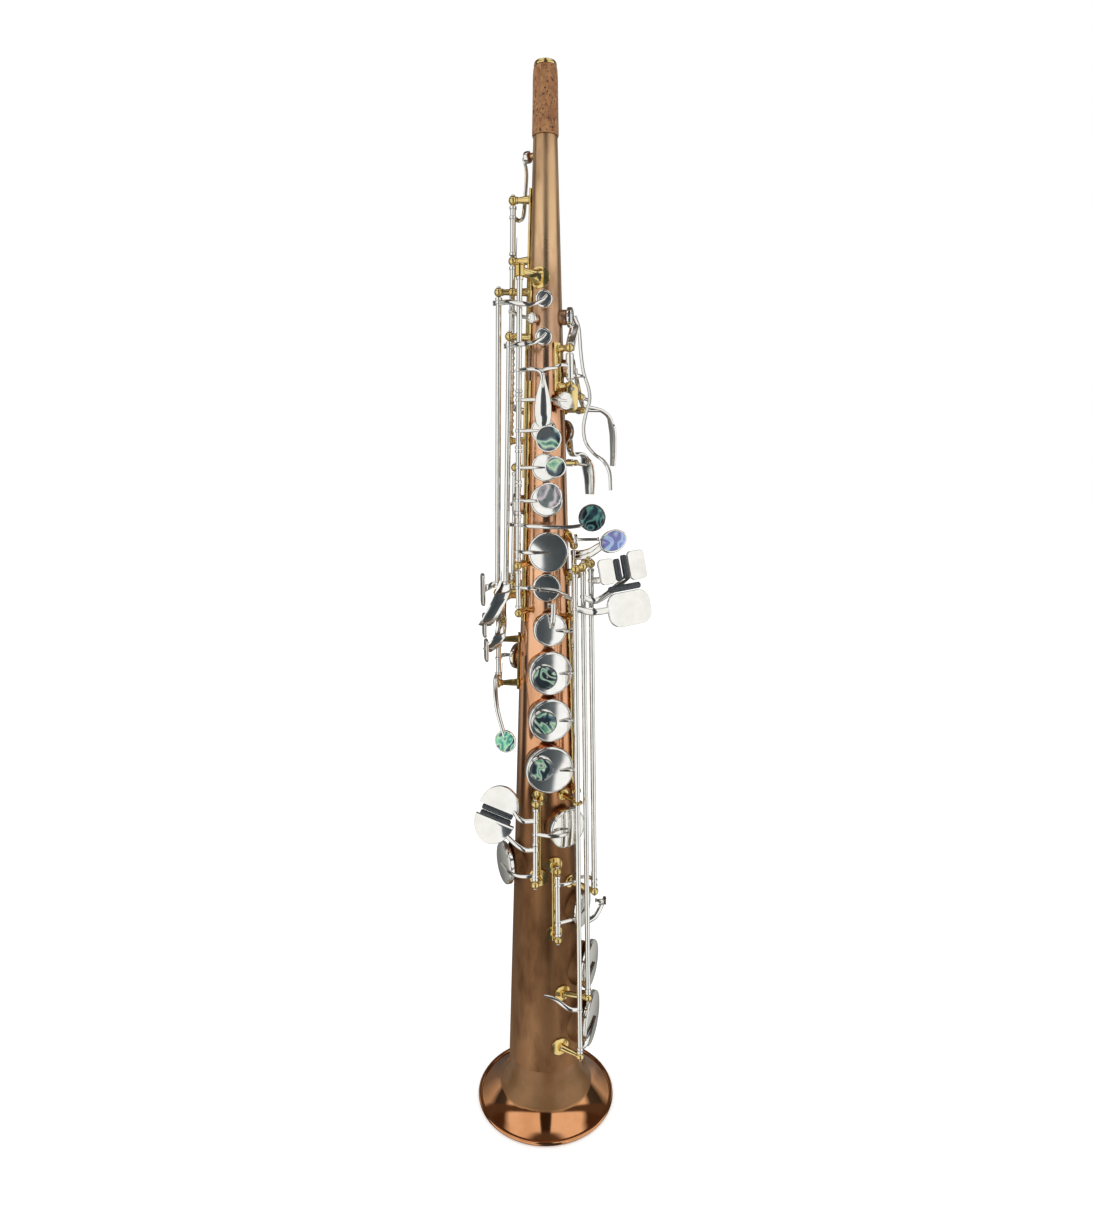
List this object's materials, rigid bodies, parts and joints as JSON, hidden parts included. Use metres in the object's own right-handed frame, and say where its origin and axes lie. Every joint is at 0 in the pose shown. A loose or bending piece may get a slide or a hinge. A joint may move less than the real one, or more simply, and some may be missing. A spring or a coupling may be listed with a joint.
{
  "type": "soprano saxophone",
  "caption": "Straight conical woodwind with a flared bell, open tone holes under hinged pad keys, long rods, side and palm levers, and a corked mouthpiece end.",
  "frame": {"origin": "centre of the bell's mouth on the bore's axis, in the plane of its rim", "axes": "+Z along the bore's axis from the bell to the mouthpiece end, -Y towards the front where the stack keys lie, +X towards the player's left-hand little-finger keys"},
  "size_m": [0.1094, 0.0936, 0.65],
  "materials": {
    "bronze_body": "polished bronze under clear lacquer",
    "gold_brass": "polished and lacquered",
    "silver_plate": "silver plated and polished",
    "cork": "sanded cork",
    "ebonite": "polished"
  },
  "bodies": {
    "horn": {"body_tube": "bronze_body", "bell": "bronze_body", "mouthpiece_cork": "cork", "neck_ring": "gold_brass", "octave_rib": "gold_brass", "stack_top_post": "gold_brass", "upper_stack_rib": "gold_brass", "side_rib_upper": "gold_brass", "side_rib_lower": "gold_brass", "side_bb_rib": "gold_brass", "alt_fsharp_rib": "gold_brass", "lower_stack_rib": "gold_brass", "gsharp_lever_post": "gold_brass", "rocker_posts": "gold_brass", "table_bracket": "gold_brass", "low_bb_post": "gold_brass", "low_b_post": "gold_brass", "csharp_lever_post": "gold_brass", "low_csharp_posts": "gold_brass", "pinky_posts": "gold_brass", "palm_f_posts": "gold_brass", "palm_eb_posts": "gold_brass", "palm_d_posts": "gold_brass", "thumb_rest": "gold_brass", "strap_ring": "gold_brass", "thumb_hook_plate": "gold_brass"},
    "octave_vent_high": {"octave_vent_high": "silver_plate"},
    "octave_vent_low": {"octave_vent_low": "silver_plate"},
    "octave_thumb_lever": {"octave_thumb_lever": "silver_plate"},
    "high_e_key": {"high_e_key": "silver_plate"},
    "side_c_key": {"side_c_key": "silver_plate"},
    "side_bb_key": {"side_bb_key": "silver_plate"},
    "alt_fsharp_key": {"alt_fsharp_key": "silver_plate"},
    "front_f_key": {"front_f_key": "silver_plate"},
    "front_f_rocker": {"front_f_rocker": "silver_plate"},
    "b_key": {"b_key": "silver_plate"},
    "bis_key": {"bis_key": "silver_plate"},
    "a_key": {"a_key": "silver_plate"},
    "g_key": {"g_key": "silver_plate"},
    "gsharp_key": {"gsharp_key": "silver_plate"},
    "gsharp_lever": {"gsharp_lever": "silver_plate"},
    "fsharp_key": {"fsharp_key": "silver_plate"},
    "f_key": {"f_key": "silver_plate"},
    "e_key": {"e_key": "silver_plate"},
    "d_key": {"d_key": "silver_plate"},
    "eflat_key": {"eflat_key": "silver_plate"},
    "low_c_key": {"low_c_key": "silver_plate"},
    "low_csharp_key": {"low_csharp_key": "silver_plate"},
    "low_csharp_lever": {"low_csharp_lever": "silver_plate"},
    "low_b_key": {"low_b_key": "silver_plate"},
    "low_bb_key": {"low_bb_key": "silver_plate"},
    "palm_f_key": {"palm_f_key": "silver_plate"},
    "palm_eb_key": {"palm_eb_key": "silver_plate"},
    "palm_d_key": {"palm_d_key": "silver_plate"},
    "table_roller_csharp": {"table_roller_csharp": "ebonite"},
    "table_roller_b": {"table_roller_b": "ebonite"},
    "table_roller_bb": {"table_roller_bb": "ebonite"},
    "pinky_roller_eflat": {"pinky_roller_eflat": "ebonite"},
    "pinky_roller_c": {"pinky_roller_c": "ebonite"},
    "thumb_hook": {"thumb_hook": "gold_brass"}
  },
  "joints": [
    {"name": "octave_vent_high_hinge", "type": "hinge", "parent": "horn", "child": "octave_vent_high", "pos_m": [-0.01866, 0.00262, 0.5639], "axis": [0.0129, -0.0018, 0.9999], "range_deg": [0, 11.77]},
    {"name": "octave_vent_low_hinge", "type": "hinge", "parent": "horn", "child": "octave_vent_low", "pos_m": [-0.01942, 0.00273, 0.52402], "axis": [0.0233, -0.0033, 0.9997], "range_deg": [-4.43, 0], "stiffness_Nm_per_rad": 0.02, "springref_deg": 17.19},
    {"name": "octave_thumb_lever_hinge", "type": "hinge", "parent": "horn", "child": "octave_thumb_lever", "pos_m": [-0.02054, 0.00289, 0.47597], "axis": [0.0233, -0.0033, 0.9997], "range_deg": [-6, 0], "stiffness_Nm_per_rad": 0.02, "springref_deg": 17.19},
    {"name": "high_e_key_hinge", "type": "hinge", "parent": "horn", "child": "high_e_key", "pos_m": [-0.028, -0.0055, 0.4423], "axis": [0.0138, 0.0172, 0.9998], "range_deg": [-4.31, 0], "stiffness_Nm_per_rad": 0.02, "springref_deg": 17.19},
    {"name": "side_c_key_hinge", "type": "hinge", "parent": "horn", "child": "side_c_key", "pos_m": [-0.0223, -0.011, 0.429], "axis": [0.0225, 0.0186, 0.9996], "range_deg": [-5.77, 0], "stiffness_Nm_per_rad": 0.02, "springref_deg": 17.19},
    {"name": "side_bb_key_hinge", "type": "hinge", "parent": "horn", "child": "side_bb_key", "pos_m": [-0.01965, 0.01428, 0.3935], "axis": [0.0254, -0.0184, 0.9995], "range_deg": [-8.21, 0], "stiffness_Nm_per_rad": 0.02, "springref_deg": 17.19},
    {"name": "alt_fsharp_key_hinge", "type": "hinge", "parent": "horn", "child": "alt_fsharp_key", "pos_m": [-0.0294, -0.0029, 0.311], "axis": [0.0143, 0.0071, 0.9999], "range_deg": [0, 6.37], "stiffness_Nm_per_rad": 0.02, "springref_deg": -17.19},
    {"name": "front_f_key_hinge", "type": "hinge", "parent": "horn", "child": "front_f_key", "pos_m": [-0.01482, -0.01496, 0.50418], "axis": [0.0121, 0.0217, 0.9997], "range_deg": [0, 4], "stiffness_Nm_per_rad": 0.02, "springref_deg": -17.19},
    {"name": "front_f_rocker_hinge", "type": "hinge", "parent": "horn", "child": "front_f_rocker", "pos_m": [0.01405, -0.01179, 0.4875], "axis": [-0.024, 0.0202, 0.9995], "range_deg": [-5, 0]},
    {"name": "b_key_hinge", "type": "hinge", "parent": "horn", "child": "b_key", "pos_m": [-0.01539, -0.01599, 0.4566], "axis": [0.0121, 0.0217, 0.9997], "range_deg": [0, 10.27], "stiffness_Nm_per_rad": 0.02, "springref_deg": -17.19},
    {"name": "bis_key_hinge", "type": "hinge", "parent": "horn", "child": "bis_key", "pos_m": [-0.0157, -0.01655, 0.431], "axis": [0.0121, 0.0217, 0.9997], "range_deg": [0, 9.36], "stiffness_Nm_per_rad": 0.02, "springref_deg": -17.19},
    {"name": "a_key_hinge", "type": "hinge", "parent": "horn", "child": "a_key", "pos_m": [-0.01593, -0.01695, 0.4122], "axis": [0.0121, 0.0217, 0.9997], "range_deg": [0, 8.9], "stiffness_Nm_per_rad": 0.02, "springref_deg": -17.19},
    {"name": "g_key_hinge", "type": "hinge", "parent": "horn", "child": "g_key", "pos_m": [-0.0162, -0.01744, 0.38958], "axis": [0.0121, 0.0217, 0.9997], "range_deg": [0, 8.28], "stiffness_Nm_per_rad": 0.02, "springref_deg": -17.19},
    {"name": "gsharp_key_hinge", "type": "hinge", "parent": "horn", "child": "gsharp_key", "pos_m": [-0.0162, -0.0181, 0.3589], "axis": [-0.014, 0.021, 0.9997], "range_deg": [-4.09, 0]},
    {"name": "gsharp_lever_hinge", "type": "hinge", "parent": "horn", "child": "gsharp_lever", "pos_m": [0.0171, -0.01487, 0.36275], "axis": [-0.0101, 0.0088, 0.9999], "range_deg": [0, 10], "stiffness_Nm_per_rad": 0.02, "springref_deg": -17.19},
    {"name": "fsharp_key_hinge", "type": "hinge", "parent": "horn", "child": "fsharp_key", "pos_m": [0.01754, -0.01524, 0.33048], "axis": [-0.0209, 0.0182, 0.9996], "range_deg": [-9.33, 0]},
    {"name": "f_key_hinge", "type": "hinge", "parent": "horn", "child": "f_key", "pos_m": [0.01799, -0.01564, 0.3087], "axis": [-0.0209, 0.0182, 0.9996], "range_deg": [-9.12, 0], "stiffness_Nm_per_rad": 0.02, "springref_deg": 17.19},
    {"name": "e_key_hinge", "type": "hinge", "parent": "horn", "child": "e_key", "pos_m": [0.01861, -0.01618, 0.2791], "axis": [-0.0209, 0.0182, 0.9996], "range_deg": [-8.74, 0], "stiffness_Nm_per_rad": 0.02, "springref_deg": 17.19},
    {"name": "d_key_hinge", "type": "hinge", "parent": "horn", "child": "d_key", "pos_m": [0.01925, -0.01673, 0.24888], "axis": [-0.0209, 0.0182, 0.9996], "range_deg": [-8.29, 0], "stiffness_Nm_per_rad": 0.02, "springref_deg": 17.19},
    {"name": "eflat_key_hinge", "type": "hinge", "parent": "horn", "child": "eflat_key", "pos_m": [-0.00628, -0.02831, 0.21202], "axis": [0.0068, 0.0306, 0.9995], "range_deg": [-6.52, 0], "stiffness_Nm_per_rad": 0.02, "springref_deg": 17.19},
    {"name": "low_c_key_hinge", "type": "hinge", "parent": "horn", "child": "low_c_key", "pos_m": [-0.00644, -0.02903, 0.18827], "axis": [0.0068, 0.0306, 0.9995], "range_deg": [-5.71, 0], "stiffness_Nm_per_rad": 0.02, "springref_deg": 17.19},
    {"name": "low_csharp_key_hinge", "type": "hinge", "parent": "horn", "child": "low_csharp_key", "pos_m": [0.00762, -0.02846, 0.1589], "axis": [-0.0081, 0.0303, 0.9995], "range_deg": [-4.82, 0]},
    {"name": "low_csharp_lever_hinge", "type": "hinge", "parent": "horn", "child": "low_csharp_lever", "pos_m": [0.0288, -0.0223, 0.2702], "axis": [-0.021, -0.0029, 0.9998], "range_deg": [0, 6], "stiffness_Nm_per_rad": 0.02, "springref_deg": -17.19},
    {"name": "low_b_key_hinge", "type": "hinge", "parent": "horn", "child": "low_b_key", "pos_m": [0.0247, -0.0253, 0.2327], "axis": [-0.0205, -0.0064, 0.9998], "range_deg": [0, 8.19], "stiffness_Nm_per_rad": 0.02, "springref_deg": -17.19},
    {"name": "low_bb_key_hinge", "type": "hinge", "parent": "horn", "child": "low_bb_key", "pos_m": [0.0199, -0.028, 0.2113], "axis": [-0.0167, -0.0099, 0.9998], "range_deg": [0, 7.01], "stiffness_Nm_per_rad": 0.02, "springref_deg": -17.19},
    {"name": "palm_f_key_hinge", "type": "hinge", "parent": "horn", "child": "palm_f_key", "pos_m": [0.02114, -0.00335, 0.471], "axis": [0.1564, 0.9877, 0], "range_deg": [0, 2.54], "stiffness_Nm_per_rad": 0.02, "springref_deg": -17.19},
    {"name": "palm_eb_key_hinge", "type": "hinge", "parent": "horn", "child": "palm_eb_key", "pos_m": [0.02086, 0.00559, 0.464], "axis": [-0.2588, 0.9659, 0], "range_deg": [0, 4.76], "stiffness_Nm_per_rad": 0.02, "springref_deg": -17.19},
    {"name": "palm_d_key_hinge", "type": "hinge", "parent": "horn", "child": "palm_d_key", "pos_m": [0.01542, 0.01597, 0.433], "axis": [-0.7193, 0.6947, 0], "range_deg": [0, 6.14], "stiffness_Nm_per_rad": 0.02, "springref_deg": -17.19},
    {"name": "table_roller_csharp_spin", "type": "hinge", "parent": "low_csharp_lever", "child": "table_roller_csharp", "pos_m": [0.04204, -0.02717, 0.37207], "axis": [-0.1777, 0.1518, 0.9723], "continuous": true},
    {"name": "table_roller_b_spin", "type": "hinge", "parent": "low_b_key", "child": "table_roller_b", "pos_m": [0.04628, -0.0255, 0.37361], "axis": [-0.1777, 0.1518, 0.9723], "continuous": true},
    {"name": "table_roller_bb_spin", "type": "hinge", "parent": "low_bb_key", "child": "table_roller_bb", "pos_m": [0.04599, -0.02832, 0.36186], "axis": [0.9386, 0.323, 0.1211], "continuous": true},
    {"name": "pinky_roller_eflat_spin", "type": "hinge", "parent": "eflat_key", "child": "pinky_roller_eflat", "pos_m": [-0.02953, -0.02757, 0.22195], "axis": [0.9301, -0.18, -0.32], "continuous": true},
    {"name": "pinky_roller_c_spin", "type": "hinge", "parent": "low_c_key", "child": "pinky_roller_c", "pos_m": [-0.03087, -0.02756, 0.21807], "axis": [0.9301, -0.18, -0.32], "continuous": true},
    {"name": "thumb_hook_slide", "type": "slide", "parent": "horn", "child": "thumb_hook", "axis": [0, 0, 1], "range_m": [-0.006, 0.006]}
  ],
  "couplings": [
    {"joint": "octave_vent_high_hinge", "follows": "octave_thumb_lever_hinge", "ratio": -1.9616},
    {"joint": "front_f_rocker_hinge", "follows": "front_f_key_hinge", "ratio": -1.25},
    {"joint": "gsharp_key_hinge", "follows": "gsharp_lever_hinge", "ratio": -0.4089},
    {"joint": "low_csharp_key_hinge", "follows": "low_csharp_lever_hinge", "ratio": -0.8033},
    {"joint": "fsharp_key_hinge", "follows": "f_key_hinge", "ratio": 1.023}
  ]
}
